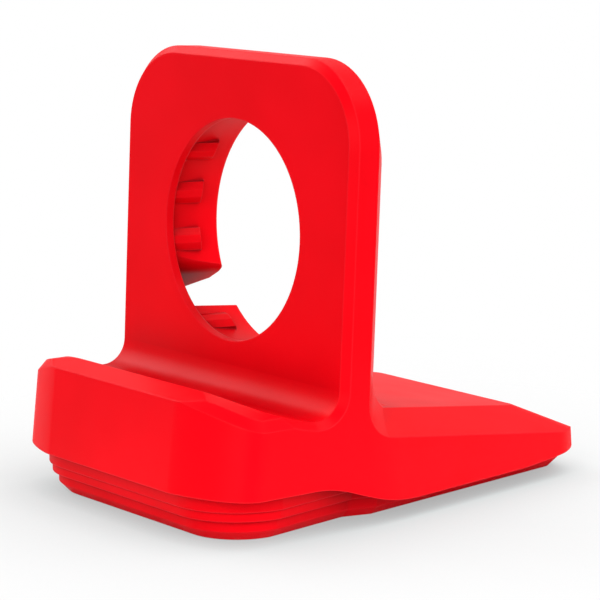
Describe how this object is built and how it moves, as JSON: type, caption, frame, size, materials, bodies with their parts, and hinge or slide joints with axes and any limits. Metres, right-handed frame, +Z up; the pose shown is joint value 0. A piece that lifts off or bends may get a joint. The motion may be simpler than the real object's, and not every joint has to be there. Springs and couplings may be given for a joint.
{
  "type": "smartwatch charging dock",
  "caption": "One-piece soft plastic stand that holds a round watch charging puck upright over a seat with a raised lip.",
  "frame": {"origin": "middle of the bounding box on the floor", "axes": "+Z up, -Y the side the watch faces, +X to the right seen from the front"},
  "size_m": [0.047, 0.0644, 0.0562],
  "materials": {
    "soft_plastic": "satin moulded soft plastic, bright red"
  },
  "bodies": {
    "root": {"dock_body": "soft_plastic"}
  },
  "joints": []
}
